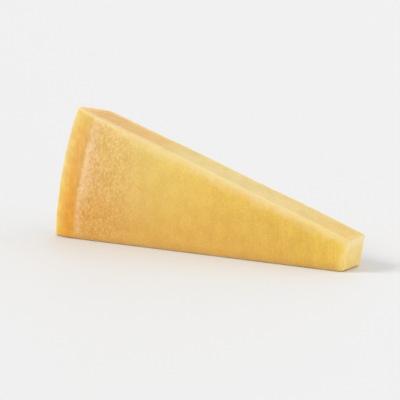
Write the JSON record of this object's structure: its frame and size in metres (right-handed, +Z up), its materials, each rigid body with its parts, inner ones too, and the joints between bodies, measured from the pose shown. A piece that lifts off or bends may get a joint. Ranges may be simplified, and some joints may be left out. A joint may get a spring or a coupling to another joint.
{
  "type": "parmesan chunk",
  "caption": "Thin wedge of hard grating cheese with a smooth rind at its broad end and a blunt tip, standing on its long cut side.",
  "frame": {"origin": "middle of the bounding box's lower face, on the surface that the chunk stands on", "axes": "+X from the rind to the tip, +Y from the front cut face to the back cut face, along the wheel's axis, +Z up"},
  "size_m": [0.1714, 0.018, 0.0697],
  "materials": {
    "cheese": "matt, slightly grainy cut cheese; smooth, waxy amber rind at the broad end"
  },
  "bodies": {
    "root": {"cheese_chunk": "cheese"}
  },
  "joints": []
}
